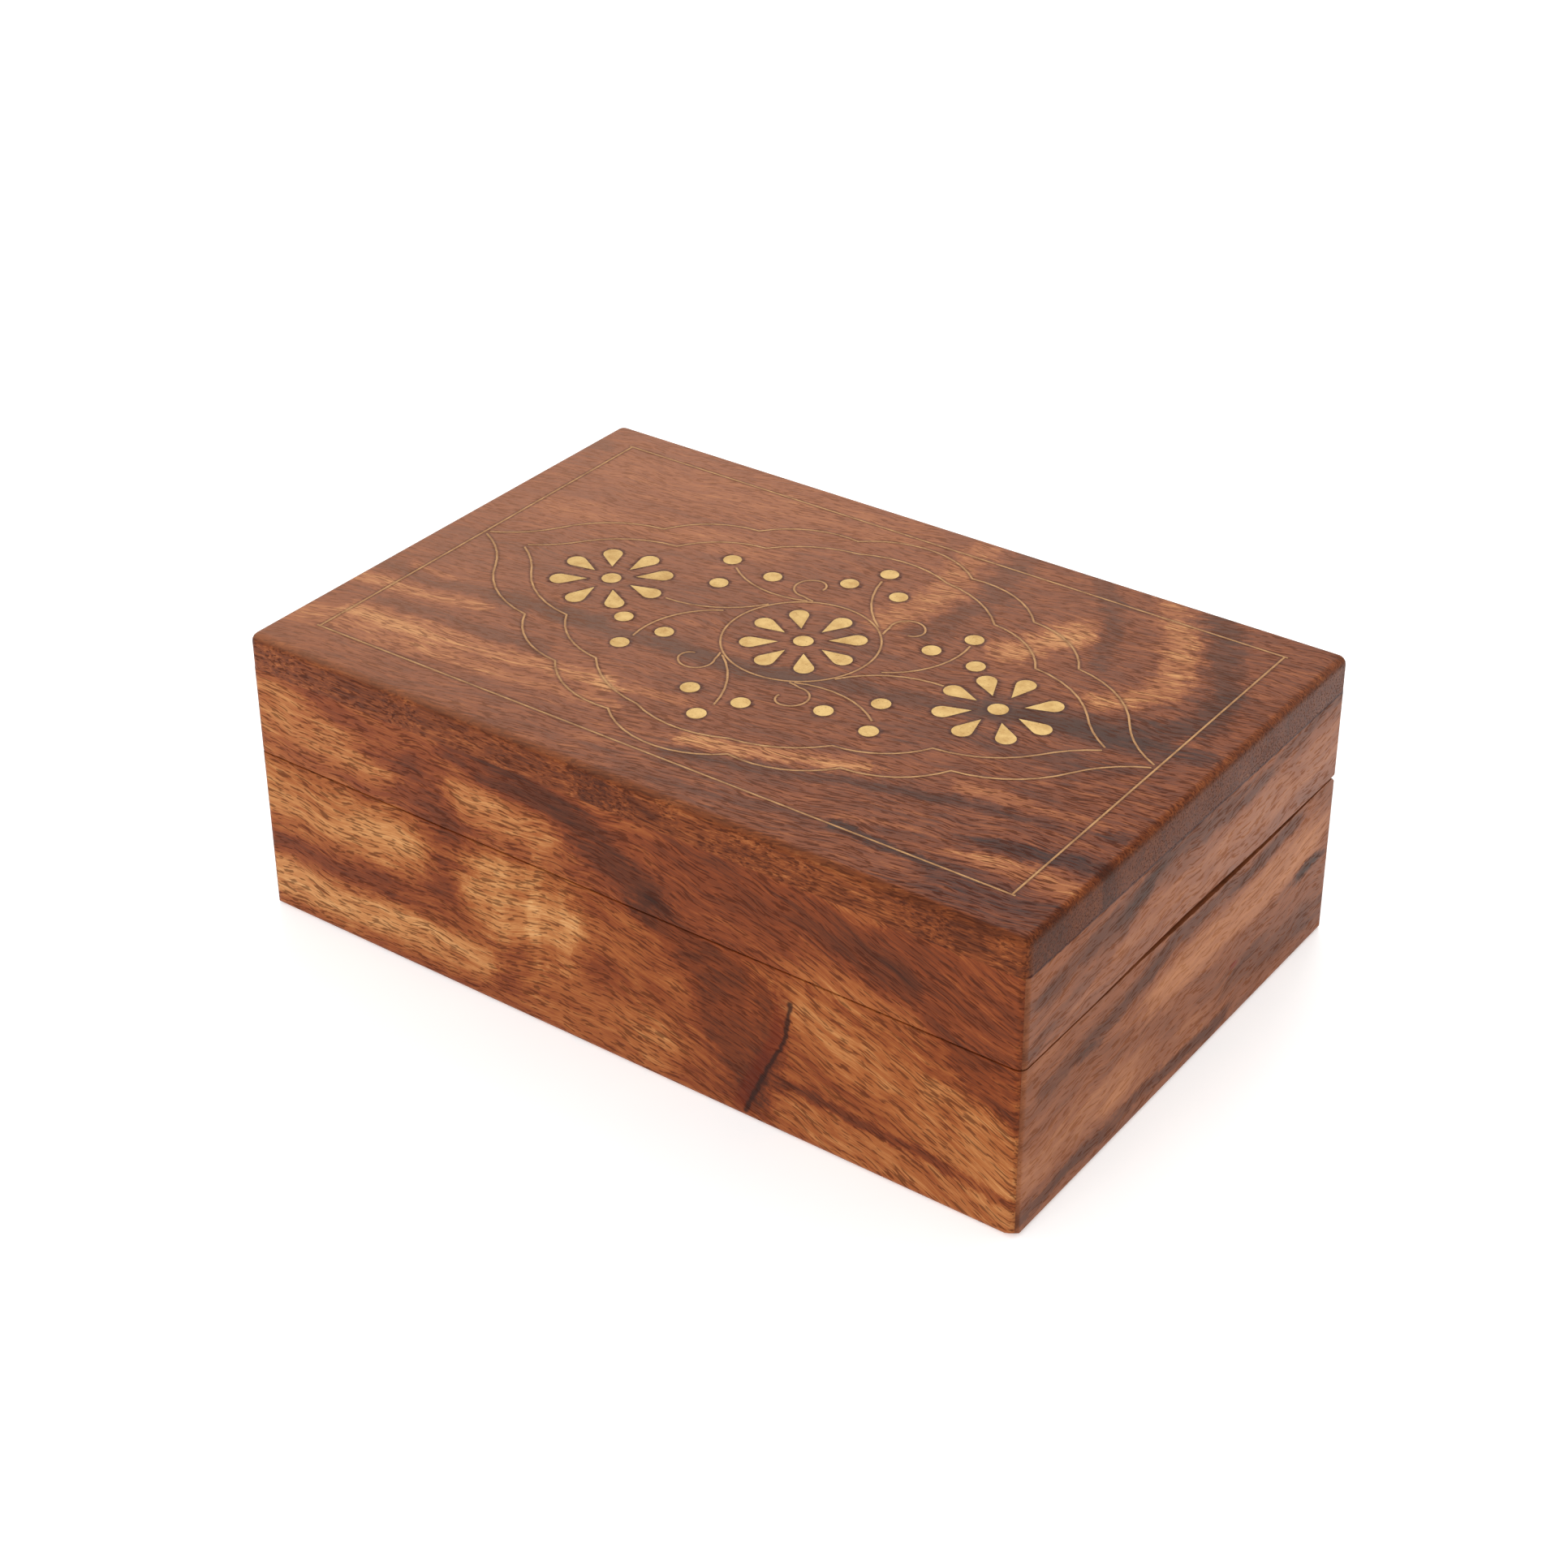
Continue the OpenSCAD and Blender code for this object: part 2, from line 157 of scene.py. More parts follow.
class Shop:
    """A material, or a world, and the nodes that make it."""

    def __init__(self, name, store=bpy.data.materials, shader="Principled BSDF"):
        self.made = store.new(name)
        self.made.use_nodes = True
        self.tree = self.made.node_tree
        self.shader = self.tree.nodes[shader]

    def add(self, kind, settings=None, inputs=None, out=0):
        """Adds a node: its settings first, then what goes into its sockets."""
        node = self.tree.nodes.new(kind)
        for key, value in (settings or {}).items():
            if key == "stops":
                self.set_stops(node.color_ramp, value)
            else:
                setattr(node, key, value)
        for key, value in (inputs or {}).items():
            self.feed(node.inputs[key], value)
        return node.outputs[out]

    def set_stops(self, ramp, stops):
        while len(ramp.elements) < len(stops):
            ramp.elements.new(1.0)
        for element, (place, colour) in zip(ramp.elements, stops):
            element.position = place
            element.color = (*colour, 1.0)

    def feed(self, socket, value):
        """Links a socket into another, or sets a plain value on it."""
        value = plain(value)
        if isinstance(value, bpy.types.NodeSocket):
            self.tree.links.new(value, socket)
        else:
            socket.default_value = value

    def math(self, operation, a, b=0.0, c=0.0, clamp=False):
        settings = {"operation": operation, "use_clamp": clamp}
        return Tone(self, self.add("ShaderNodeMath", settings, {0: a, 1: b, 2: c}))

    def vector(self, operation, a, b=(0, 0, 0), scale=1.0, out=0):
        return self.add("ShaderNodeVectorMath", {"operation": operation}, {0: a, 1: b, 3: scale}, out)

    def least(self, a, b):
        return self.math("MINIMUM", a, b)

    def most(self, a, b):
        return self.math("MAXIMUM", a, b)

    def fade(self, value, full, none, amount=1.0):
        """amount where value is at full, falling smoothly to 0 where it is at none."""
        settings = {"interpolation_type": "SMOOTHSTEP", "clamp": True}
        inputs = {0: value, 1: full, 2: none, 3: amount, 4: 0.0}
        return Tone(self, self.add("ShaderNodeMapRange", settings, inputs))

    def cloud(self, where, scale=1.0, detail=2.0, rough=0.5, out=0):
        """Soft random patches: a number, or a colour with out=1."""
        inputs = {"Vector": where, "Scale": scale, "Detail": detail, "Roughness": rough}
        made = self.add("ShaderNodeTexNoise", {"noise_dimensions": "3D"}, inputs, out)
        return Tone(self, made) if out == 0 else made

    def ramp(self, tone, stops):
        """A colour that runs through the stops, each a place from 0 to 1 and a colour."""
        return self.add("ShaderNodeValToRGB", {"stops": stops}, {0: tone})

    def tint(self, amount, a, b, blend="MIX"):
        """Colour a, turned into colour b by the amount."""
        settings = {"data_type": "RGBA", "blend_type": blend}
        a = (*a, 1.0) if isinstance(a, tuple) else a
        b = (*b, 1.0) if isinstance(b, tuple) else b
        return self.add("ShaderNodeMix", settings, {0: amount, 6: a, 7: b}, out=2)

    def bump(self, height, depth):
        """A normal from a height from 0 to 1, where 1 stands depth metres proud."""
        inputs = {"Height": height, "Distance": depth, "Strength": 1.0}
        return self.add("ShaderNodeBump", None, inputs)

    def millimetres(self):
        """Where a point is on the box, in millimetres: the whole and its three numbers."""
        place = self.vector("SCALE", self.add("ShaderNodeTexCoord", out=3), scale=1000.0)
        split = self.add("ShaderNodeSeparateXYZ", None, {0: place}).node
        return place, [Tone(self, out) for out in split.outputs]

    def drift(self, where, scale, detail, rough):
        """A soft random push, up to a half each way along each axis."""
        patches = self.cloud(where, scale, detail, rough, out=1)
        return self.vector("SUBTRACT", patches, (0.5, 0.5, 0.5))

    def point(self, x, y, z):
        return self.add("ShaderNodeCombineXYZ", None, {0: x, 1: y, 2: z})

    def finish(self, **sockets):
        """Sets the shader's own sockets, named with _ for a space."""
        for name, value in sockets.items():
            self.feed(self.shader.inputs[name.replace("_", " ")], value)
        return self.made


def srgb(*colour):
    """A colour as a screen shows it, 0 to 255, turned into the light it stands for."""
    return tuple(((c / 255 + 0.055) / 1.055) ** 2.4 for c in colour)


print("half grey, as light:", round(srgb(128)[0], 3))


# %% [markdown]
# ## Figured wood
# The boards are sawn from a dense brown hardwood with dark growth bands. Three things make its
# look. The figure is the large pattern of dark bands and golden patches, which no noise gives
# by itself, so each board has a short list of strokes: a line on the board, how wide the band
# is and how much lighter or darker it makes the wood. The grain is fine streaks that run with
# the board, and the pores are short dark dashes. All three follow one flow line, which may
# lean, and all read the piece's own coordinates, so that they run on over the rounded edges
# and into the end grain.

# %% A stroke of the figure
CORE = 0.25


def stroke(shop, where, line, width):
    """How near a point is to a bent line: 1 within its core, 0 at width away."""
    nearest = None
    for (x0, y0), (x1, y1) in zip(line, line[1:]):
        start = Vector((x0, y0, 0.0))
        run = Vector((x1 - x0, y1 - y0, 0.0))
        share = run / run.length_squared
        along = Tone(shop, shop.vector("DOT_PRODUCT", where, share, out=1)) - start.dot(share)
        foot = shop.add("ShaderNodeVectorMath", {"operation": "MULTIPLY_ADD"},
                        {0: along.clamped(), 1: run, 2: start})
        away = Tone(shop, shop.vector("DISTANCE", where, foot, out=1))
        nearest = away if nearest is None else shop.least(nearest, away)
    return shop.fade(nearest, CORE * width, width)


def figure_of(shop, where, strokes, taper):
    """The sum of a board's strokes. A taper under 1 draws their ends out along the grain."""
    where = shop.vector("MULTIPLY", where, (taper, 1.0, 1.0))
    figure = None
    for line, width, change in strokes:
        line = [(x * taper, y) for x, y in line]
        part = stroke(shop, where, line, width) * change
        figure = part if figure is None else figure + part
    return figure


print("a stroke is whole out to", CORE, "of its width")

# %% [markdown]
# ### The grain
# Fine grain is the same random pattern at several sizes, each stretched along the board. The
# sizes are in millimetres, along the grain, across it and through the board. A slow drift
# bends the figure, and a quick one tears its outlines, as fibres do.

# %% Sizes and strengths of the grain
# BEND, TEAR and FLOW_BEND are pushes along and across. A SHARE is how much of the whole a
# pattern makes. The rings are a sine, whose phase grows by RING_DRIFT over a slow patch and by
# RING_STEP over a millimetre.
BROAD = (34.0, 5.0, 9.0)
GROWTH = (60.0, 15.0, 15.0)
STREAK = (14.0, 1.0, 1.0)
FIBRE = (5.0, 0.32, 0.32)
PORE = (2.9, 0.46, 0.46)
BEND = (9.0, 5.0, 0.0)
TEAR = (13.0, 4.0, 0.0)
FLOW_BEND = (0.0, 9.0, 0.0)
BROAD_SHARE = 0.3
RING_SHARE = 0.035
FIBRE_SHARE = 0.7
RING_DRIFT = 60.0
RING_STEP = 0.8
CROWDING = 0.16
PORE_FULL = 0.71
PORE_GONE = 0.62


def fibres(shop, run, size, detail, rough):
    """Random streaks from 0 to 1, about as long, wide and deep as size says."""
    stretched = [tone / length for tone, length in zip(run, size)]
    return shop.cloud(shop.point(*stretched), 1.0, detail, rough)


def pores_of(shop, place, run):
    """Short open vessels, crowded in places, and how crowded they are."""
    dash = fibres(shop, run, PORE, 1, 0.4)
    crowd = shop.cloud(place, 0.09, 2, 0.5)
    return shop.fade(dash + crowd * CROWDING, PORE_FULL, PORE_GONE), crowd


print("finest grain, mm:", FIBRE[1])

# %% Worn edges
WEAR_FULL = 1.0
WEAR_END = 2.6
WEAR_RAGGED = 1.6


def edge_wear(shop, place, xyz):
    """Where hands and cloths have rubbed: along the box's upright corners and round its top."""
    ends = HALF_L - abs(xyz[0])
    faces = HALF_W - abs(xyz[1])
    corner = shop.most(ends, faces)
    rim = shop.most(shop.least(ends, faces), HEIGHT - xyz[2])
    patchy = shop.cloud(place, 0.16, 3, 0.6)
    return shop.fade(shop.least(corner, rim) + patchy * WEAR_RAGGED, WEAR_FULL, WEAR_END)


print("wear reaches in from the edges, mm:", WEAR_END)

# %% The wood itself
PORE_DARK = srgb(66, 26, 10)
PORE_DEPTH = 0.04 * MM
WORN_DARK = srgb(78, 40, 24)
WORN_SHARE = 0.35
WOOD_GLOSS = 0.12


def figured_wood(name, axes, origin, strokes, colours, lean, tone=0.5, turn=0.0, soft=40.0,
                 grain=0.6, open_pores=0.62, taper=1.0, more=None):
    """A board's wood. axes says which of x, y and z runs along the grain, across and through;
    origin is where along and across are 0; lean is how the flow line slants past turn. A board
    may have more marks of its own."""
    shop = Shop(name)
    place, xyz = shop.millimetres()
    along = xyz[axes[0]] - origin[0]
    across = xyz[axes[1]] - origin[1]
    through = xyz[axes[2]]
    flat = shop.point(along, across, 0.0)
    wander = shop.drift(place, 0.035, 2, 0.5)
    ragged = shop.drift(place, 0.3, 4, 0.7)
    where = shop.vector("ADD", flat, shop.vector("MULTIPLY", wander, BEND))
    where = shop.vector("ADD", where, shop.vector("MULTIPLY", ragged, TEAR))
    past = shop.math("SMOOTH_MAX", along - turn, 0.0, soft)
    flow = across + past * lean + Tone(shop, shop.vector("DOT_PRODUCT", wander, FLOW_BEND, out=1))
    run = (along, flow, through)

    figure = figure_of(shop, where, strokes, taper)
    broad = fibres(shop, run, BROAD, 2, 0.5) - 0.5
    growth = fibres(shop, run, GROWTH, 1, 0.4)
    rings = shop.math("SINE", growth * RING_DRIFT + flow * RING_STEP)
    streaks = fibres(shop, run, STREAK, 4, 0.7) - 0.5
    fine = fibres(shop, run, FIBRE, 2, 0.7) - 0.5
    shade = tone + figure + broad * BROAD_SHARE + rings * RING_SHARE
    shade = (shade + streaks * grain + fine * (FIBRE_SHARE * grain)).clamped()
    pores, crowd = pores_of(shop, place, run)

    colour = shop.ramp(shade, colours)
    colour = shop.tint(pores * open_pores, colour, PORE_DARK)
    worn = edge_wear(shop, place, xyz)
    colour = shop.tint(worn * WORN_SHARE, colour, WORN_DARK)
    if more:
        colour = more(shop, xyz, along, across, colour)
    height = (1 - pores) * 0.7 + streaks * 0.25 + fine * 0.3
    rough = 0.42 + pores * 0.25 + streaks * 0.15 + worn * 0.15 + (crowd - 0.5) * 0.12
    return shop.finish(
        Base_Color=colour,
        Roughness=rough,
        Normal=shop.bump(height, PORE_DEPTH),
        Specular_IOR_Level=WOOD_GLOSS,
    )


print("pores, mm deep:", PORE_DEPTH / MM)

# %% [markdown]
# ### The colours
# Each ramp runs from the darkest growth band to the palest sapwood streak. The ends of the box
# are pinker and flatter than the front. Their pink is painted sheen: the pale shine that lies on
# the ends is mixed into the wood's colour.

# %% Colour ramps
WARM = (
    (0.00, srgb(52, 24, 12)),
    (0.22, srgb(90, 42, 20)),
    (0.42, srgb(126, 58, 24)),
    (0.62, srgb(158, 88, 42)),
    (0.82, srgb(190, 128, 74)),
    (1.00, srgb(214, 160, 104)),
)
BROWN = (
    (0.00, srgb(44, 18, 8)),
    (0.25, srgb(84, 38, 16)),
    (0.50, srgb(126, 62, 26)),
    (0.75, srgb(164, 96, 50)),
    (1.00, srgb(214, 152, 92)),
)
# The ramp of the ends, also used for the bottom panel: wood colours with a painted sheen, the lamps'
# pale shine, mixed in as pink.
PINK_WITH_SHEEN = (
    (0.00, srgb(62, 34, 18)),
    (0.25, srgb(98, 54, 32)),
    (0.50, srgb(140, 82, 50)),
    (0.75, srgb(176, 114, 74)),
    (1.00, srgb(202, 142, 96)),
)
print("colours in the ramps:", len(WARM), len(BROWN), len(PINK_WITH_SHEEN))

# %% [markdown]
# ### The front's figure
# Lengths are from the board's left end, heights from the foot. Golden patches are divided by a
# band that bends back on itself like a horseshoe, a darker band falls across the middle, and a
# closed crack stands to its right.

# %% Strokes on the front
FRONT = [
    ([(0, 54), (32, 53)], 14, 0.2),
    ([(0, 31), (42, 31)], 13, 0.3),
    ([(2, 9), (62, 10)], 9, 0.34),
    ([(62, 53), (82, 49)], 11, 0.22),
    ([(66, 30), (84, 28)], 15, 0.3),
    ([(69, 16), (71, 42)], 2.8, 0.07),
    ([(78, 14), (80, 42)], 3, 0.1),
    ([(87, 16), (88, 38)], 2.6, 0.08),
    ([(78, 8), (112, 8)], 9, 0.14),
    ([(20, 62), (42, 52), (56, 44), (60, 37), (54, 27), (34, 20), (0, 16)], 6.5, -0.14),
    ([(60, 63), (88, 56), (110, 46)], 9, -0.26),
    ([(114, 42), (128, 34), (132, 22), (137, 10)], 10, -0.17),
    ([(108, 34), (116, 14)], 14, 0.06),
    ([(0, 67), (90, 67)], 6, -0.06),
    ([(112, 69), (164, 63)], 5, 0.22),
    ([(176, 70), (200, 66)], 5, 0.2),
    ([(122, 56), (160, 58), (200, 52)], 14, -0.12),
    ([(158, 52), (174, 50)], 6, -0.1),
    ([(180, 43), (200, 40)], 5, -0.1),
    ([(154, 35), (196, 18)], 17, 0.2),
    ([(146, 6), (198, 5)], 9, 0.16),
    ([(144, 13.5), (200, 8.5)], 2, -0.24),
    ([(150, 39), (200, 27)], 2.2, -0.16),
    ([(139, 34), (142, 22), (137, 8)], 4.5, -0.16),
    ([(187, 36), (200, 26)], 5, -0.12),
]
CRACK = [(146, 34), (144.5, 24), (140, 15), (134.5, 2)]
print("front:", len(FRONT), "strokes")

# %% [markdown]
# ### The top's figure
# The top board is cut flat from the log, so its bands run the length of the board and bend up
# round a knot at the right. Heights are now from the front edge.

# %% Strokes on the top
TOP = [
    ([(0, 33), (33, 39)], 4.5, 0.34),
    ([(0, 15), (30, 18)], 8, 0.26),
    ([(10, 22), (32, 24), (60, 27), (76, 29)], 5, 0.34),
    ([(36, 18.5), (60, 19.5), (82, 22)], 4, 0.26),
    ([(76, 28), (95, 32)], 3, 0.22),
    ([(104, 20), (118, 24), (140, 33)], 4.4, 0.36),
    ([(8, 45), (20, 45)], 2.2, 0.3),
    ([(20, 112), (60, 118), (90, 122)], 16, 0.14),
    ([(16, 86), (72, 98)], 9, 0.16),
    ([(110, 126), (113, 104), (110, 84)], 7, 0.32),
    ([(139, 90), (147, 106)], 8, 0.4),
    ([(158, 130), (170, 110), (176, 94), (168, 82)], 6, 0.34),
    ([(150, 13), (168, 19), (196, 19)], 5, 0.26),
    ([(160, 38), (190, 40)], 4, 0.22),
    ([(0, 42), (30, 43.5), (60, 48)], 4, -0.26),
    ([(34, 44), (60, 50)], 5, -0.14),
    ([(52, 46), (95, 50), (125, 58), (160, 68), (196, 76)], 4.6, -0.28),
    ([(78, 50), (110, 52)], 6, -0.16),
    ([(138, 49), (160, 57), (182, 62)], 6, -0.12),
    ([(170, 130), (178, 115), (187, 100), (190, 88), (180, 76), (150, 68)], 6, -0.28),
    ([(121, 128), (124, 105), (120, 84)], 5, -0.2),
    ([(140, 130), (152, 112), (160, 96)], 4, -0.2),
    ([(104, 14), (130, 22), (160, 33), (196, 40)], 3.4, -0.24),
    ([(150, 12), (178, 23), (200, 30)], 4, -0.3),
    ([(148, 12), (172, 11)], 2.2, -0.4),
    ([(176, 9), (200, 9)], 7, -0.16),
    ([(92, 0), (120, 7), (150, 12)], 2.6, -0.14),
    ([(0, 117), (4, 117)], 7, -0.26),
    ([(14, 29), (58, 33)], 3.4, -0.2),
    ([(10, 60), (60, 68), (110, 74)], 12, -0.1),
]
print("top:", len(TOP), "strokes")

# %% [markdown]
# ### The ends and the back
# These boards are plainer: long level bands, a few of them dark. Lengths on the ends are from
# the front edge. The strokes of the two sides that face away start and end past the boards.

# %% Strokes on the right end
RIGHT_END = [
    ([(62, 27), (112, 29)], 8, 0.26),
    ([(4, 14), (34, 15)], 7, 0.18),
    ([(40, 10), (66, 10)], 5, 0.12),
    ([(20, 47), (50, 50)], 5, 0.12),
    ([(70, 48), (130, 52)], 8, 0.12),
    ([(0, 5), (40, 6), (82, 4)], 2.6, -0.24),
    ([(12, 31), (60, 37), (110, 38)], 3, -0.2),
    ([(96, 11), (131, 7)], 6, -0.16),
    ([(10, 55), (60, 60), (90, 58)], 4, -0.2),
    ([(0, 44), (30, 50), (50, 61)], 2.4, -0.16),
    ([(119, 22), (122, 22.5)], 2.6, -0.4),
    ([(24, 30), (26, 30)], 2.0, -0.24),
    ([(104, 60), (131, 62)], 2.6, -0.18),
]
print("right end:", len(RIGHT_END), "strokes")

# %% Strokes on the two sides that face away
BACK = [
    ([(-20, 50), (90, 56), (220, 46)], 9, 0.22),
    ([(-20, 26), (80, 36), (220, 24)], 6, -0.26),
    ([(60, 18), (140, 20), (220, 12)], 9, 0.2),
    ([(-20, 10), (60, 8), (120, 2)], 6, -0.18),
    ([(90, 46), (220, 36)], 3, -0.22),
]
LEFT_END = [
    ([(-20, 18), (60, 24), (150, 20)], 8, 0.2),
    ([(-20, 38), (80, 46), (150, 42)], 3.4, -0.2),
    ([(-20, 58), (150, 52)], 6, 0.12),
    ([(-20, 5), (150, 9)], 3, -0.18),
]
print("back and left end:", len(BACK) + len(LEFT_END), "strokes")

# %% [markdown]
# ### Marks of their own
# Some boards have marks that strokes can't give, because they have another colour or follow
# something else: the glue line under the top board, a closed crack, a streak of gum, and the
# dark stain that tarnish and polish leave in the wood round the brass. Each is one more tint
# over the finished wood, made by a function that the board's wood calls last.

# %% Glue
GLUE_RED = srgb(52, 16, 10)
GLUE_LINE = (0.1, 0.5, 0.8)    # full within, gone at, strength
GLUE_SHAKE = 0.8
END_SKIN = 0.1
END_GONE = 1.0


def glue_line(shop, xyz, colour):
    """The dark red line of glue under the top board, seen at the ends."""
    shake = shop.cloud(shop.point(*xyz), 0.5, 3, 0.6) - 0.5
    line = shop.fade(abs(xyz[2] - SEAM / MM + shake * GLUE_SHAKE), *GLUE_LINE)
    at_end = shop.fade(abs(xyz[0]), HALF_L - END_SKIN, HALF_L - END_GONE)
    return shop.tint(line * at_end, colour, GLUE_RED)


print("glue line at height, mm:", round(SEAM / MM, 2))

# %% Crack
CRACK_RED = srgb(104, 34, 12)
CRACK_DARK = srgb(40, 18, 10)
CRACK_WIDTH = 0.9
RED_WIDTH = 3.0
RED_SIDE = 1.6
SHAKE = 1.6


def cracked(shop, xyz, along, across, colour):
    """A closed crack across the grain, dark at its heart and red on its left."""
    where = shop.point(along, across, 0.0)
    shake = shop.drift(where, 0.5, 2, 0.5)
    where = shop.vector("ADD", where, shop.vector("SCALE", shake, scale=SHAKE))
    side = [(x - RED_SIDE, z) for x, z in CRACK]
    colour = shop.tint(stroke(shop, where, side, RED_WIDTH) * 0.5, colour, CRACK_RED)
    return shop.tint(stroke(shop, where, CRACK, CRACK_WIDTH) * 0.85, colour, CRACK_DARK)


print("crack:", len(CRACK), "points,", CRACK_WIDTH, "mm wide")

# %% Gum
GUM_RED = srgb(120, 44, 26)
GUM_ALONG = 87.0
GUM_UP = 15.2
GUM_STRETCH = 2.2


def red_fleck(shop, xyz, along, across, colour):
    """A small red streak of gum in the end board, and the glue line over it."""
    centre = (GUM_ALONG / GUM_STRETCH, GUM_UP, 0.0)
    spot = shop.vector("DISTANCE", shop.point(along / GUM_STRETCH, across, 0.0), centre, out=1)
    colour = shop.tint(shop.fade(spot, 0.3, 1.2, 0.8), colour, GUM_RED)
    return glue_line(shop, xyz, colour)


print("gum at, mm:", GUM_ALONG, GUM_UP)

# %% Stain round the brass
STAIN_DARK = srgb(62, 26, 14)
STAIN = (0.1, 1.1, 0.72)       # mm from petals and dots: full within, gone at; strength
WIRE_STAIN = (0.1, 0.75, 0.45)
END_GRAIN = srgb(76, 44, 28)
END_DEPTH = 0.6
# The pale colour and the three numbers after it paint the lamps' sheen on the top: a tint that grows
# towards the left and the back.
PAINTED_SHEEN = srgb(176, 122, 92)
SHEEN_MIDDLE = (100.0, 65.0)
SHEEN_TO_LEFT = 0.0045
SHEEN_TO_BACK = 0.0025


def inlaid_top(shop, xyz, along, across, colour):
    """The top's marks: a painted sheen, a pale tint stronger to the left and the back where the
    lamp from the left and behind shines on it, the dark stain round the brass, and grey end grain at
    both ends."""
    patchy = shop.cloud(shop.point(*xyz), 0.9, 3, 0.6)
    to_pieces = Tone(shop, shop.add("ShaderNodeAttribute", {"attribute_name": "to_pieces"}, out=2))
    to_wires = Tone(shop, shop.add("ShaderNodeAttribute", {"attribute_name": "to_wires"}, out=2))
    ragged = shop.cloud(shop.point(*xyz), 0.28, 2, 0.5)
    stain = shop.fade(to_pieces + (patchy - 0.5) * 1.8 + (ragged - 0.5) * 1.4, *STAIN)
    line = shop.fade(to_wires + (patchy - 0.5) * 0.6, *WIRE_STAIN)
    # Painted sheen: the flat of the top is tinted paler, in patches, to the left and the back, where
    # the lamp's shine lies.
    sheen_amount = 0.5 + (SHEEN_MIDDLE[0] - along) * SHEEN_TO_LEFT + (across - SHEEN_MIDDLE[1]) * SHEEN_TO_BACK
    sheen_amount = sheen_amount.clamped() * shop.fade(HEIGHT - xyz[2], 0.2, 1.6) * (0.35 + patchy * 0.3)
    colour = shop.tint(sheen_amount, colour, PAINTED_SHEEN)
    colour = shop.tint(shop.most(stain, line), colour, STAIN_DARK)
    end = shop.fade(abs(xyz[0]), HALF_L - END_SKIN, HALF_L - END_DEPTH, 0.55)
    colour = shop.tint(end, colour, END_GRAIN)
    return glue_line(shop, xyz, colour)


print("stain reaches, mm:", STAIN[1], "from petals,", WIRE_STAIN[1], "from wires")

# %% [markdown]
# ### Six woods
# Every board gets the same recipe with its own strokes, colours and lean. The two ends are
# smoother, with closed pores, and the top is the coarsest. One recipe keeps the boards alike,
# as boards from one log are.

# %% Six woods
LONG_SIDE = ((0, 2, 1), (-HALF_L, 0.0))
END_SIDE = ((1, 2, 0), (-HALF_W, 0.0))
LYING = ((0, 1, 2), (-HALF_L, -HALF_W))

wood_front = figured_wood(
    "front wood", *LONG_SIDE, FRONT, WARM,
    lean=0.36, tone=0.46, turn=118.0, more=cracked)
wood_back = figured_wood(
    "back wood", *LONG_SIDE, BACK, WARM,
    lean=-0.05, tone=0.48, taper=0.4)
wood_right = figured_wood(
    "right end wood", *END_SIDE, RIGHT_END, PINK_WITH_SHEEN,
    lean=-0.07, tone=0.45, grain=0.34, open_pores=0.2, taper=0.3, more=red_fleck)
wood_left = figured_wood(
    "left end wood", *END_SIDE, LEFT_END, PINK_WITH_SHEEN,
    lean=0.05, tone=0.48, grain=0.34, open_pores=0.2, taper=0.3)
wood_top = figured_wood(
    "top wood", *LYING, TOP, BROWN,
    lean=-0.16, tone=0.44, turn=-60.0, grain=0.95, open_pores=0.7, more=inlaid_top)
wood_panel = figured_wood(
    "bottom panel wood", *LYING, BACK, PINK_WITH_SHEEN,
    lean=0.02, tone=0.55)
print("woods:", sum(len(m.node_tree.nodes) for m in bpy.data.materials if m.node_tree), "nodes")

# %% [markdown]
# ## Brass
# The inlay is sheet and wire that was filed and sanded flush with the wood, so it is dull and
# pale, with fine scratches one way. The hinges are the same metal, darker with age. One
# function makes all three, because they differ only in colour and in how dull they are, and
# the scratches are a random pattern that is stretched along the box.

# %% Brass
TARNISH = srgb(120, 80, 40)
SCRATCH = (0.5, 6.0, 6.0)
SCRATCH_DEPTH = 0.01 * MM


def brass(name, pale, dark, rough):
    """Sanded brass: patches from dark to pale, scratches along x, and specks of tarnish."""
    shop = Shop(name)
    place, xyz = shop.millimetres()
    stretched = [tone * scale for tone, scale in zip(xyz, SCRATCH)]
    sanding = shop.cloud(shop.point(*stretched), 1.0, 2, 0.6)
    patches = shop.cloud(place, 0.3, 3, 0.6)
    specks = shop.fade(shop.cloud(place, 2.6, 2, 0.5), 0.72, 0.62)
    colour = shop.ramp((patches * 0.7 + sanding * 0.3).clamped(), ((0.3, dark), (0.62, pale)))
    colour = shop.tint(specks * 0.3, colour, TARNISH)
    return shop.finish(
        Base_Color=colour,
        Metallic=0.75,
        Roughness=rough + sanding * 0.14 + specks * 0.15,
        Normal=shop.bump(sanding, SCRATCH_DEPTH),
    )


brass_inlay = brass("inlay brass", srgb(200, 168, 108), srgb(166, 128, 70), 0.46)
brass_wire = brass("wire brass", srgb(180, 138, 92), srgb(130, 90, 56), 0.5)
brass_hinge = brass("hinge brass", srgb(206, 160, 88), srgb(160, 112, 56), 0.3)
print("brass:", [m.name for m in (brass_inlay, brass_wire, brass_hinge)])

# %% [markdown]
# ## Velvet and steel
# The lining is short-pile velvet: dark where one looks into the pile, with a pale bloom at the
# turned edges. Sheen gives the bloom, and uneven strokes of the pile vary the colour. Loops of
# real pile would be far too many to model, so its tufts are bump. The screws and hinge pins are
# turned steel, bright but not polished.

# %% Velvet and screw steel
WINE_DARK = srgb(82, 10, 20)
WINE_PALE = srgb(130, 20, 34)
STEEL_DARK = srgb(120, 112, 100)
STEEL_PALE = srgb(170, 164, 150)
TUFT_DEPTH = 0.25 * MM
TURNING_DEPTH = 0.01 * MM


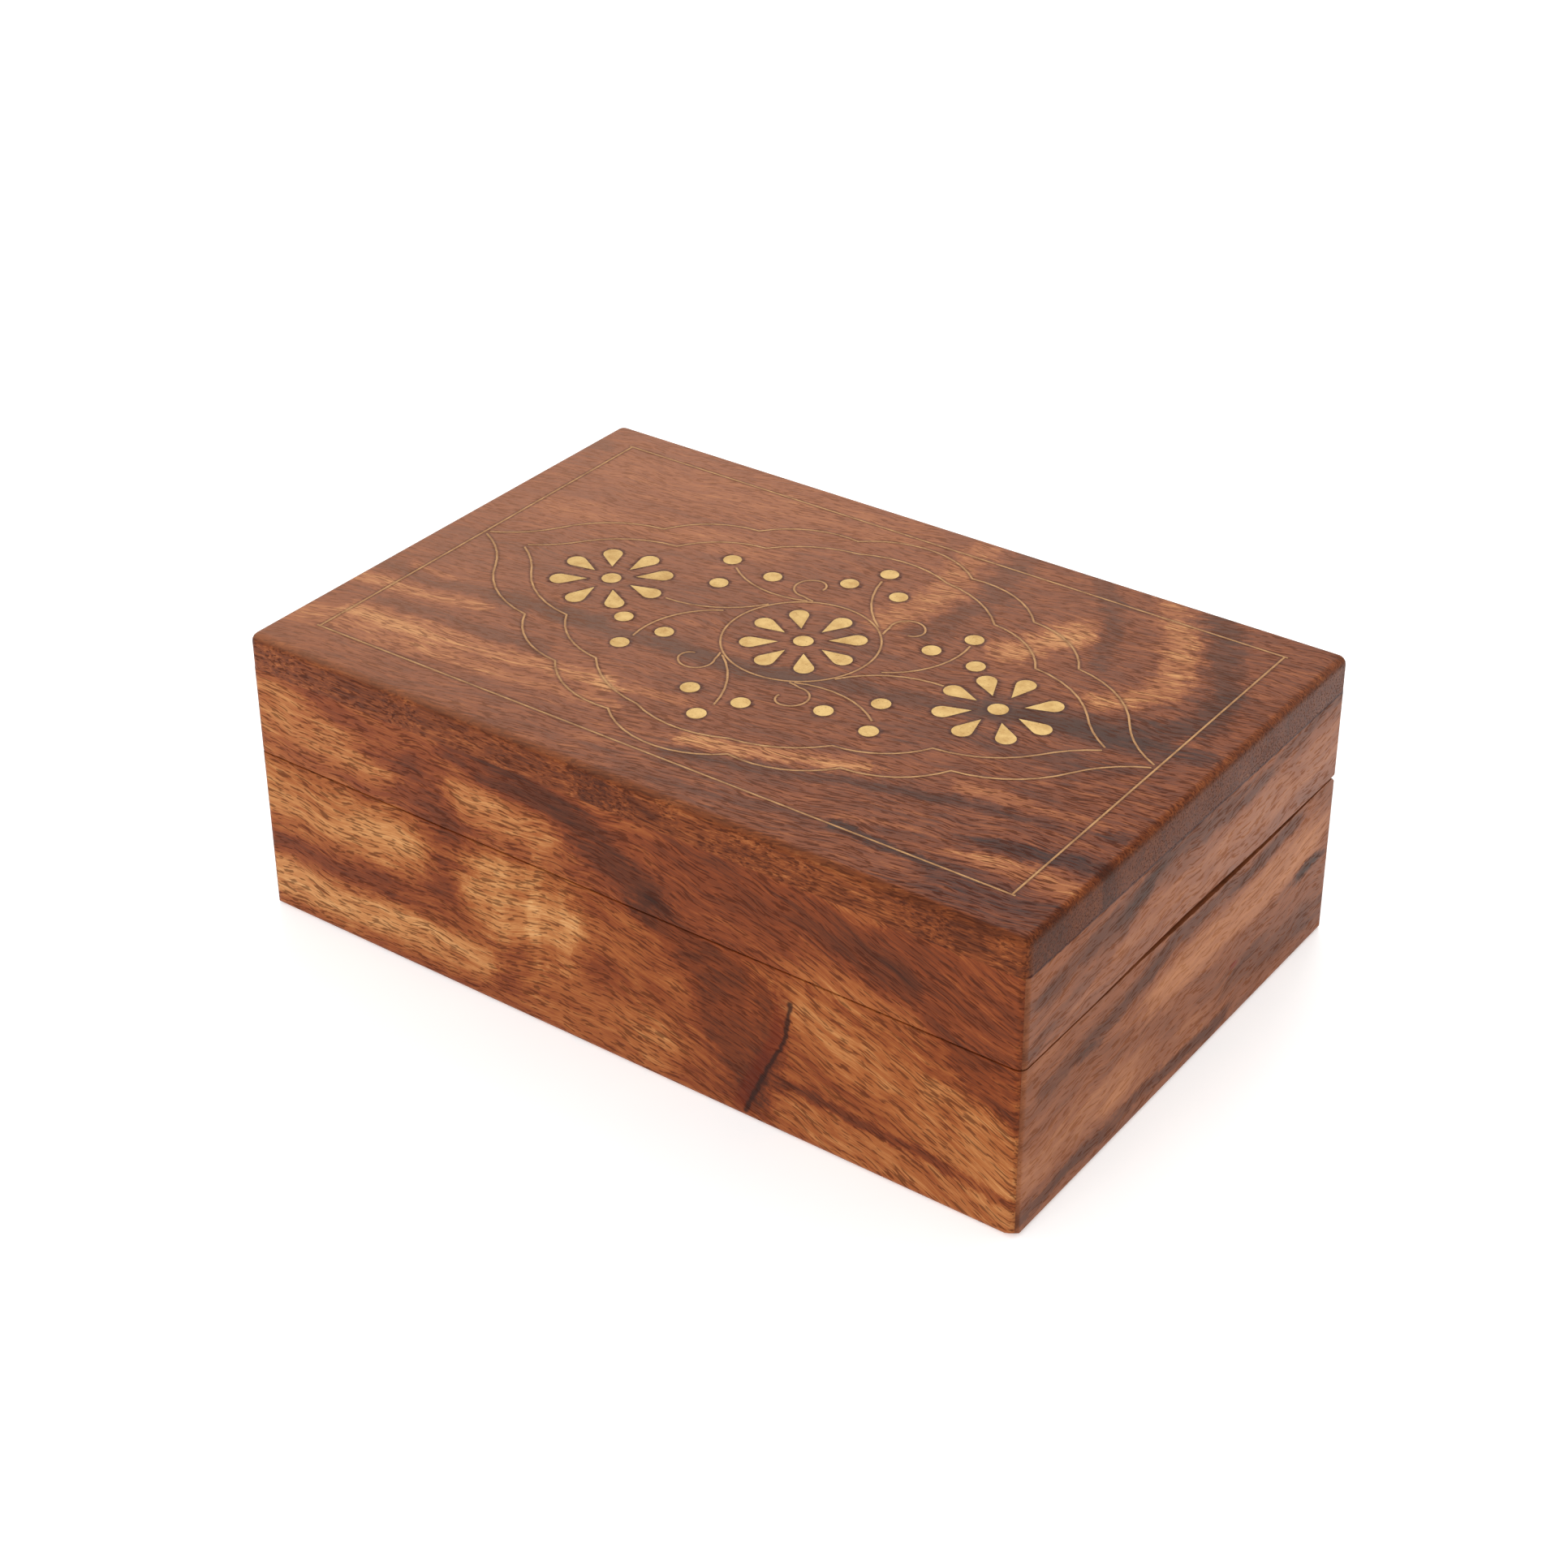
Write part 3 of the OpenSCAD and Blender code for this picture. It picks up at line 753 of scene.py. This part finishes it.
def velvet(name):
    """Short pile, brushed in broad patches."""
    shop = Shop(name)
    place, _ = shop.millimetres()
    brushed = shop.cloud(place, 0.05, 2, 0.5)
    pile = shop.cloud(place, 1.7, 2, 0.6)
    tufts = shop.cloud(place, 5.0, 1, 0.5)
    shade = (brushed * 0.4 + pile * 0.6).clamped()
    colour = shop.ramp(shade, ((0.3, WINE_DARK), (0.7, WINE_PALE)))
    return shop.finish(
        Base_Color=colour,
        Roughness=0.85 + pile * 0.1,
        Normal=shop.bump(pile * 0.6 + tufts * 0.4, TUFT_DEPTH),
        Sheen_Weight=0.6,
        Sheen_Roughness=0.35,
        Sheen_Tint=(0.9, 0.35, 0.35, 1.0),
    )


def screw_steel(name):
    """Turned steel with a mottled sheen."""
    shop = Shop(name)
    place, _ = shop.millimetres()
    turned = shop.cloud(place, 1.4, 3, 0.6)
    colour = shop.ramp(turned, ((0.3, STEEL_DARK), (0.7, STEEL_PALE)))
    return shop.finish(
        Base_Color=colour,
        Metallic=0.95,
        Roughness=0.28 + turned * 0.2,
        Normal=shop.bump(turned, TURNING_DEPTH),
    )


velvet_red = velvet("lining velvet")
steel = screw_steel("screw steel")
print("lining and screws:", velvet_red.name, "and", steel.name)

# %% [markdown]
# ## The boards
# A board's true shape, with its mitres, rebate, hinge beds and worn edge, is already in the
# CAD mesh, but every edge there is razor sharp, and a real edge always catches a line of
# light. So a copy of each mesh is welded, its flat triangles are dissolved back into faces,
# and the sharp edges are bevelled. Only the edges that reach the glue line under the top board
# stay sharp, because the boards were sanded as one after they were glued. The front right foot
# of the box has been knocked, so one slanting cut takes its corner off both boards.

# %% Ease the edges of a CAD piece
SHARP = math.radians(35)
FLAT = math.radians(0.5)
SMOOTH = math.radians(30)
SAME_POINT = 0.000001
ON_PLANE = 0.0000001
TINY = 0.01 * MM


def welded(node):
    """The CAD mesh as a bmesh with shared corners and whole faces."""
    bm = bmesh.new()
    bm.from_mesh(NODES[node].data)
    bmesh.ops.remove_doubles(bm, verts=bm.verts, dist=SAME_POINT)
    bmesh.ops.dissolve_limit(bm, angle_limit=FLAT, verts=bm.verts, edges=bm.edges)
    return bm


def ease(bm, width, segments=2):
    """Rounds the sharp edges, all but those that reach the glue line, and drops slivers."""
    edges = [e for e in bm.edges if e.is_manifold and e.calc_face_angle() > SHARP
             and min(abs(v.co.z - SEAM) for v in e.verts) > TINY]
    bmesh.ops.bevel(bm, geom=edges, offset=width, offset_type="OFFSET", affect="EDGES",
                    segments=segments, profile=0.5, material=-1, clamp_overlap=True)
    bmesh.ops.dissolve_degenerate(bm, dist=TINY, edges=bm.edges)


def placed(name, bm, body, slot, material, *nodes):
    """Makes a finished piece of a bmesh, in place of its CAD nodes."""
    mesh = bpy.data.meshes.new(name)
    bm.to_mesh(mesh)
    bm.free()
    piece = bpy.data.objects.new(name, mesh)
    bpy.context.scene.collection.objects.link(piece)
    mesh.materials.append(material)
    for polygon in mesh.polygons:
        polygon.use_smooth = True
    mesh.set_sharp_from_angle(angle=SMOOTH)
    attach(piece, body)
    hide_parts(*nodes)
    return piece


print("edges turned by more than", round(math.degrees(SHARP)), "degrees are eased")

# %% A knocked corner
KNOCK = ((-4.6, 0, 0), (0, 3.2, 0), (0, 0, 1.9))    # mm along the front, the end and up


def whole(bm):
    """All that a bmesh has, for an operator that asks for it."""
    return list(bm.verts) + list(bm.edges) + list(bm.faces)


def wear_corner(bm):
    """Takes off the foot of the front right corner, as far along its three edges as KNOCK."""
    corner = Vector((HALF_L, -HALF_W, 0)) * MM
    spots = [corner + Vector(reach) * MM for reach in KNOCK]
    normal = (spots[1] - spots[0]).cross(spots[2] - spots[0]).normalized()
    if normal.z > 0:
        normal.negate()
    cut = bmesh.ops.bisect_plane(bm, geom=whole(bm), dist=ON_PLANE, plane_co=spots[0],
                                 plane_no=normal, clear_outer=True)
    rim = [e for e in cut["geom_cut"] if isinstance(e, bmesh.types.BMEdge)]
    if rim:
        bmesh.ops.holes_fill(bm, edges=rim)


print("knocked off the front, mm:", -KNOCK[0][0])

# %% Eight side boards and the bottom
BOARDS = {
    "front": wood_front,
    "back": wood_back,
    "left": wood_left,
    "right": wood_right,
}
BOARD_EASE = 0.25 * MM
PANEL_EASE = 0.3 * MM

for side, wood in BOARDS.items():
    for body in ("base", "lid"):
        node = f"{body}_{side}_board"
        bm = welded(node)
        if body == "base":
            wear_corner(bm)
        ease(bm, BOARD_EASE)
        piece = placed(f"{node}_wood", bm, body, "wood", wood, node)
        print(node, len(piece.data.polygons), "faces")

bm = welded("bottom_panel")
ease(bm, PANEL_EASE)
panel = placed("bottom_panel_wood", bm, "base", "panel_wood", wood_panel, "bottom_panel")
print("bottom_panel", len(panel.data.polygons), "faces")

# %% [markdown]
# ## The top board
# The brass is let into this board. The stain round each piece of brass follows its outline, so
# the board's face is a fine grid, and each of its points is told how far it is from the brass:
# once for petals and dots, once for wires. The material reads the two numbers. The face lies a
# hair below the brass, which stands proud as it does when wood has been sanded after it.

# %% Rounded slab
TOP_NODE = "lid_top_board"
TOP_ROUND = 2.0 * MM
CORNER_ROUND = 2.1 * MM
SINK = 0.04 * MM


def upper_face(bm):
    """The face that lies highest."""
    return max(bm.faces, key=lambda f: f.calc_center_median().z)


def rounded(bm, edges, width):
    """Rounds edges in five steps."""
    bmesh.ops.bevel(bm, geom=edges, offset=width, affect="EDGES", segments=5, profile=0.5,
                    material=-1)


def rounded_slab(low, high, corner, rim):
    """A slab with round upright corners and a round upper edge."""
    bm = bmesh.new()
    size = high - low
    place = Matrix.Translation((low + high) / 2) @ Matrix.Diagonal((*size, 1))
    bmesh.ops.create_cube(bm, size=1.0, matrix=place)
    upright = [e for e in bm.edges if abs(e.verts[0].co.z - e.verts[1].co.z) > size.z / 2]
    rounded(bm, upright, corner)
    rounded(bm, list(upper_face(bm).edges), rim)
    return bm


top_low, top_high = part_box(TOP_NODE)
top_high.z -= SINK
bm = rounded_slab(top_low, top_high, CORNER_ROUND, TOP_ROUND)
print("slab:", len(bm.faces), "faces")

# %% A fine grid for its face
GRID = 0.55 * MM
MARGIN = 2.0 * MM
PIECES = [n for n in NODES if n.endswith("_petals")] + ["flower_centres", "loose_dots"]
WIRES = [n for n in NODES if n.endswith(("_wire", "_wires"))]

# The two layers come first, because a new layer makes what points into the bmesh out of date.
for key in ("to_pieces", "to_wires"):
    bm.verts.layers.float.new(key)
face = upper_face(bm)
rim_edges = list(face.edges)
bmesh.ops.delete(bm, geom=[face], context="FACES_ONLY")
reach = [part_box(n) for n in PIECES + WIRES]
west = min(b[0].x for b in reach) - MARGIN
east = max(b[1].x for b in reach) + MARGIN
south = min(b[0].y for b in reach) - MARGIN
north = max(b[1].y for b in reach) + MARGIN
middle = Vector(((west + east) / 2, (south + north) / 2, top_high.z))
half = Vector(((east - west) / 2, (north - south) / 2, 1))
grid = bmesh.ops.create_grid(
    bm, x_segments=int(2 * half.x / GRID), y_segments=int(2 * half.y / GRID), size=1.0,
    matrix=Matrix.Translation(middle) @ Matrix.Diagonal((*half, 1)))
grid_verts = set(grid["verts"])
grid_edges = [e for e in bm.edges if e.is_boundary and e.verts[0] in grid_verts]
bmesh.ops.bridge_loops(bm, edges=rim_edges + grid_edges)
bmesh.ops.recalc_face_normals(bm, faces=bm.faces)
print("grid:", len(grid_verts), "points")

# %% Distance to the brass
FAR = 5.0    # mm, for points off the grid: further than any stain reaches


def tree_of(nodes):
    """One search tree over several CAD nodes."""
    points, faces = [], []
    for node in nodes:
        mesh = NODES[node].data
        start = len(points)
        points += [v.co.copy() for v in mesh.vertices]
        faces += [[start + i for i in p.vertices] for p in mesh.polygons]
    return BVHTree.FromPolygons(points, faces)


for key, nodes in (("to_pieces", PIECES), ("to_wires", WIRES)):
    layer = bm.verts.layers.float[key]
    tree = tree_of(nodes)
    for v in bm.verts:
        v[layer] = tree.find_nearest(v.co)[3] / MM if v in grid_verts else FAR
open_edges = sum(1 for e in bm.edges if not e.is_manifold)
top_board = placed("lid_top_board_wood", bm, "lid", "top_wood", wood_top, TOP_NODE)
print("top board:", len(top_board.data.polygons), "faces,", open_edges, "open edges")

# %% [markdown]
# ## The brass inlay
# Each petal, dot and wire is a flat piece of brass, pressed into a pocket of its own shape and
# sanded off. The CAD pieces have the right outlines, so they stay. They only need soft edges,
# which a Bevel gives once a Weld has joined their triangles.

# %% Brass pieces
WELD_GAP = 0.000002
BRASS_EASE = 0.06 * MM


def soften(piece, width):
    """Rounds a CAD node's sharp edges with modifiers, which leave its mesh as it is."""
    weld = piece.modifiers.new("weld", "WELD")
    weld.merge_threshold = WELD_GAP
    bevel = piece.modifiers.new("soft edges", "BEVEL")
    bevel.width = width
    bevel.segments = 2
    bevel.limit_method = "ANGLE"
    bevel.angle_limit = SHARP


def dressed(node, material):
    """Gives a CAD node its material, in place of the plain one it came with."""
    for slot in NODES[node].material_slots:
        slot.material = material


for node in PIECES + WIRES:
    dressed(node, brass_wire if node in WIRES else brass_inlay)
    soften(NODES[node], BRASS_EASE)
print("inlay:", len(PIECES + WIRES), "nodes of brass")

# %% [markdown]
# ## The lining
# Each board's inside is covered with a piece of velvet, glued to card and pressed in. A sheet
# starts flat, is cut into small squares so that it can swell a little between its glued edges,
# and gets its thickness last.

# %% How far a sheet stands off its board
PILE = 0.7 * MM
MID_PILE = 0.38
SWELL = 0.06
RIPPLE = 0.04
RIPPLE_LENGTH = 14 * MM


def stand_off(u, w, size, back):
    """How far the middle of the sheet's thickness is from the board, at a point of the sheet.
    u and w run from -0.5 to 0.5 over it, and 16 makes the swell 1 at its middle."""
    swell = max(0.0, (0.25 - u * u) * (0.25 - w * w)) * 16
    ripple = noise.noise(Vector((u * size[0], w * size[1], back)) / RIPPLE_LENGTH)
    return MID_PILE * MM + (SWELL + RIPPLE * ripple) * MM * swell


print("swell at most, mm:", SWELL + RIPPLE)

# %% Velvet sheets
TRIM = 0.2 * MM
CELL = 3 * MM
FEWEST_CELLS = 6


def lining(node, body, facing):
    """A velvet sheet in the place of a CAD lining. facing is the way its pile looks."""
    low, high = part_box(node)
    facing = Vector(facing)
    axis = max(range(3), key=lambda i: abs(facing[i]))
    across = [i for i in range(3) if i != axis]
    size = [high[i] - low[i] - TRIM for i in across]
    bm = bmesh.new()
    cells = [max(FEWEST_CELLS, int(s / CELL)) for s in size]
    bmesh.ops.create_grid(bm, x_segments=cells[0], y_segments=cells[1], size=0.5)
    back = low[axis] if facing[axis] > 0 else high[axis]
    for v in bm.verts:
        spot = Vector((0, 0, 0))
        u, w = v.co.x, v.co.y
        spot[across[0]] = (low[across[0]] + high[across[0]]) / 2 + u * size[0]
        spot[across[1]] = (low[across[1]] + high[across[1]]) / 2 + w * size[1]
        spot[axis] = back + facing[axis] * stand_off(u, w, size, back)
        v.co = spot
    bmesh.ops.recalc_face_normals(bm, faces=bm.faces)
    face = next(iter(bm.faces))
    if face.normal[axis] * facing[axis] < 0:
        bmesh.ops.reverse_faces(bm, faces=bm.faces)
    piece = placed(f"{node}_velvet", bm, body, "velvet", velvet_red, node)
    thick = piece.modifiers.new("pile", "SOLIDIFY")
    thick.thickness = PILE
    thick.offset = 0.0
    return piece


LININGS = {
    "floor_lining": ("base", (0, 0, 1), "bottom_panel_wood"),
    "front_lining": ("base", (0, 1, 0), "base_front_board_wood"),
    "back_lining": ("base", (0, -1, 0), "base_back_board_wood"),
    "left_lining": ("base", (1, 0, 0), "base_left_board_wood"),
    "right_lining": ("base", (-1, 0, 0), "base_right_board_wood"),
    "lid_lining": ("lid", (0, 0, -1), "lid_top_board_wood"),
}
for node, (body, facing, board) in LININGS.items():
    lining(node, body, facing)
print("lining:", len(LININGS), "sheets")

# %% [markdown]
# ## Hinges and screws
# The leaves and pins keep their CAD shape with softened edges. A screw head is turned as one
# profile, spun into a solid, and its slot is a strip of the top that is pushed down.

# %% Hinge leaves and pins
LEAF_EASE = 0.08 * MM
PIN_EASE = 0.15 * MM

for side in ("left", "right"):
    for body in ("base", "lid"):
        node = f"{side}_hinge_{body}_leaf"
        bm = welded(node)
        ease(bm, LEAF_EASE)
        placed(f"{node}_brass", bm, body, "hinge_brass", brass_hinge, node)
    node = f"{side}_hinge_pin"
    bm = welded(node)
    ease(bm, PIN_EASE, 3)
    pin = placed(f"{node}_steel", bm, "base", "hinge_steel", steel, node)
    print(side, "hinge: two leaves and a pin of", len(pin.data.polygons), "faces")

# %% A slotted screw
HEAD_R = 1.6 * MM
SHANK_R = 0.78 * MM
TIP_R = 0.3 * MM
SLOT_W = 0.34 * MM
SLOT_D = 0.26 * MM
PROFILE = (                    # a radius in metres, and a depth in mm below the leaf's face
    (0, 0.02),
    (HEAD_R - 0.12 * MM, 0.02),
    (HEAD_R - 0.03 * MM, 0.05),
    (SHANK_R, 0.6),
    (SHANK_R, 4.6),
    (TIP_R, 5.9),
    (0, 5.95),
)
STEPS = 32


def turned_screw():
    """The profile spun into a solid, with its head up."""
    made = bmesh.new()
    verts = [made.verts.new((r, 0, -depth * MM)) for r, depth in PROFILE]
    edges = [made.edges.new(pair) for pair in zip(verts, verts[1:])]
    bmesh.ops.spin(made, geom=verts + edges, cent=(0, 0, 0), axis=(0, 0, 1), angle=math.tau,
                   steps=STEPS, use_merge=True, use_duplicate=False)
    bmesh.ops.remove_doubles(made, verts=made.verts, dist=SAME_POINT)
    bmesh.ops.recalc_face_normals(made, faces=made.faces)
    return made


def cut_slot(made):
    """Cuts the head along both sides of the slot, and pushes the strip between them down."""
    for side in (-1, 1):
        bmesh.ops.bisect_plane(made, geom=whole(made), dist=ON_PLANE,
                               plane_co=(0, side * SLOT_W / 2, 0), plane_no=(0, side, 0))
    strip = [f for f in made.faces
             if f.normal.z > 0.5 and abs(f.calc_center_median().y) < SLOT_W / 2]
    pushed = bmesh.ops.extrude_face_region(made, geom=strip)
    bmesh.ops.delete(made, geom=strip, context="FACES")
    down = [v for v in pushed["geom"] if isinstance(v, bmesh.types.BMVert)]
    bmesh.ops.translate(made, verts=down, vec=(0, 0, -SLOT_D))


def screw(bm, spot, way, turn):
    """Adds a screw with its head at spot, that points up (way 1) or down (way -1)."""
    made = turned_screw()
    cut_slot(made)
    place = Matrix.Translation(spot) @ Matrix.Rotation(math.pi if way > 0 else 0.0, 4, "X")
    made.transform(place @ Matrix.Rotation(turn, 4, "Z"))
    mesh = bpy.data.meshes.new("screw")
    made.to_mesh(mesh)
    made.free()
    bm.from_mesh(mesh)
    bpy.data.meshes.remove(mesh)


print("screw, mm:", PROFILE[-1][1], "long, head", round(2 * HEAD_R / MM, 2), "across")

# %% Four screws in each body
SLOT_TURNS = (0.4, 1.3, 2.2, 0.9)

for body, way in (("base", -1), ("lid", 1)):
    node = f"{body}_hinge_screws"
    low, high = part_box(node)
    face_z = high.z if way < 0 else low.z
    y = (low.y + high.y) / 2
    leaf_low, leaf_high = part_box(f"right_hinge_{body}_leaf")
    leaf_mid = (leaf_low.x + leaf_high.x) / 2
    outer = high.x - HEAD_R
    xs = [s * (leaf_mid + k * (outer - leaf_mid)) for s in (-1, 1) for k in (-1, 1)]
    bm = bmesh.new()
    for x, turn in zip(xs, SLOT_TURNS):
        screw(bm, Vector((x, y, face_z)), way, turn)
    piece = placed(f"{node}_steel", bm, body, "hinge_steel", steel, node)
    print(node, len(piece.data.polygons), "faces")

# %% [markdown]
# ## Floor and light
# The box stands on a seamless white ground in a white room, under one large soft lamp from the
# left and behind, which puts a quiet shine on the top, and a weaker one beside the camera. The
# ground glows a little, as lit paper does from light that comes back to it from the room, so
# the box's shadow stays pale. It lies a hair below the box, because two surfaces in one place
# would flicker through each other from below.

# %% Stage
PAPER_DULL = (0.86, 0.86, 0.86)
PAPER_BRIGHT = (0.9, 0.9, 0.89)
PAPER_GLOW = 0.45
FLOOR_HALF = 3.0
FLOOR_DROP = 0.1 * MM


def ground():
    """White paper, a touch uneven."""
    shop = Shop("white ground")
    place, _ = shop.millimetres()
    paper = shop.cloud(place, 0.02, 3, 0.5)
    colour = shop.ramp(paper, ((0.0, PAPER_DULL), (1.0, PAPER_BRIGHT)))
    return shop.finish(
        Base_Color=colour,
        Roughness=0.9,
        Specular_IOR_Level=0.1,
        Emission_Color=colour,
        Emission_Strength=PAPER_GLOW,
    )


mesh = bpy.data.meshes.new("floor")
bm = bmesh.new()
bmesh.ops.create_grid(bm, x_segments=2, y_segments=2, size=FLOOR_HALF,
                      matrix=Matrix.Translation((0, 0, -FLOOR_DROP)))
bm.to_mesh(mesh)
bm.free()
floor = bpy.data.objects.new("floor", mesh)
bpy.context.scene.collection.objects.link(floor)
mesh.materials.append(ground())
print("floor, m:", 2 * FLOOR_HALF, "across")

# %% [markdown]
# ### The room and its lamps
# A studio's white walls light a thing from all round. They are white to the eye, but at full
# strength they would wash out the wood's darks, so they shine with less than they show.

# %% Light
LAMP_AIM = Vector((0, 0, 0.04))
LAMP_AWAY = 1.6
WHITE = (1.0, 1.0, 1.0, 1.0)
WALL_LIGHT = 0.75
WALL_SEEN = 1.0


def lamp(name, power, size, turn, tilt):
    """A square soft lamp, aimed at the middle of the box from turn and tilt, in degrees."""
    light = bpy.data.lights.new(name, "AREA")
    light.energy = power
    light.size = size
    return aimed(name, light, LAMP_AIM, math.radians(turn), math.radians(tilt), LAMP_AWAY)


room = Shop("white room", bpy.data.worlds, "Background")
seen = Tone(room, room.add("ShaderNodeLightPath"))
strength = room.math("MULTIPLY_ADD", seen, WALL_SEEN - WALL_LIGHT, WALL_LIGHT)
bpy.context.scene.world = room.finish(Color=WHITE, Strength=strength)
lamps = [lamp("back lamp", 9.0, 1.0, -150, 50), lamp("front lamp", 7.0, 0.9, 10, 40)]
bpy.context.scene.view_settings.view_transform = "Standard"
print("lamps:", [thing.name for thing in lamps])
